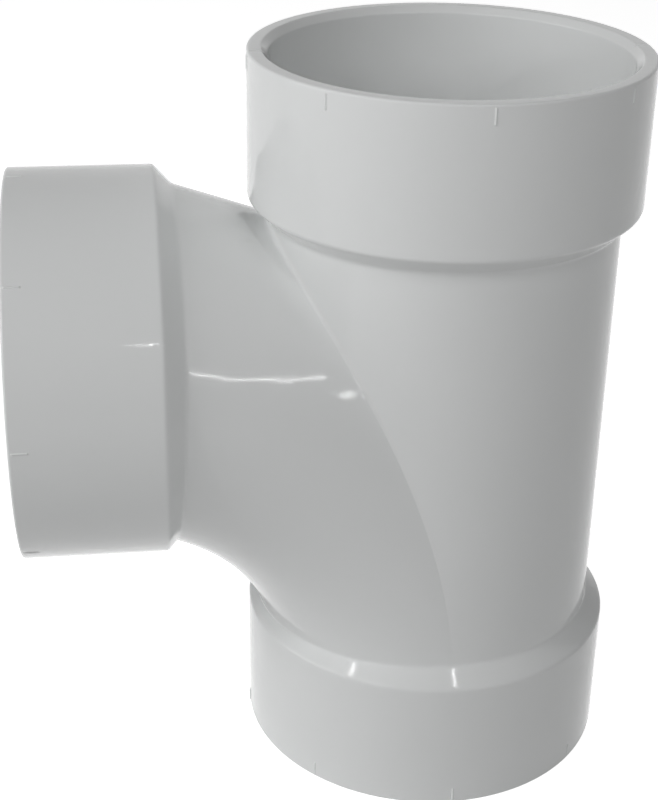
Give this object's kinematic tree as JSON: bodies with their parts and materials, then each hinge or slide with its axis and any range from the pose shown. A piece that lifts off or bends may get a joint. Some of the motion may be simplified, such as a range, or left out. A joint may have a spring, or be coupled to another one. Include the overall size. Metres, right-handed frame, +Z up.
{
  "type": "sanitary tee",
  "caption": "Drainage tee with pipe sockets on its straight run and on a branch that sweeps down into the run, moulded in white plastic.",
  "frame": {"origin": "centre of the outlet's rim, where the run axis meets the plane of that rim", "axes": "+Z up the run axis from the outlet to the inlet; the branch points along -X; the fitting is the same on both sides of the XZ plane"},
  "size_m": [0.2048, 0.1286, 0.2455],
  "materials": {
    "pvc": "moulded, smooth and glossy"
  },
  "bodies": {
    "root": {"tee_body": "pvc"}
  },
  "joints": []
}
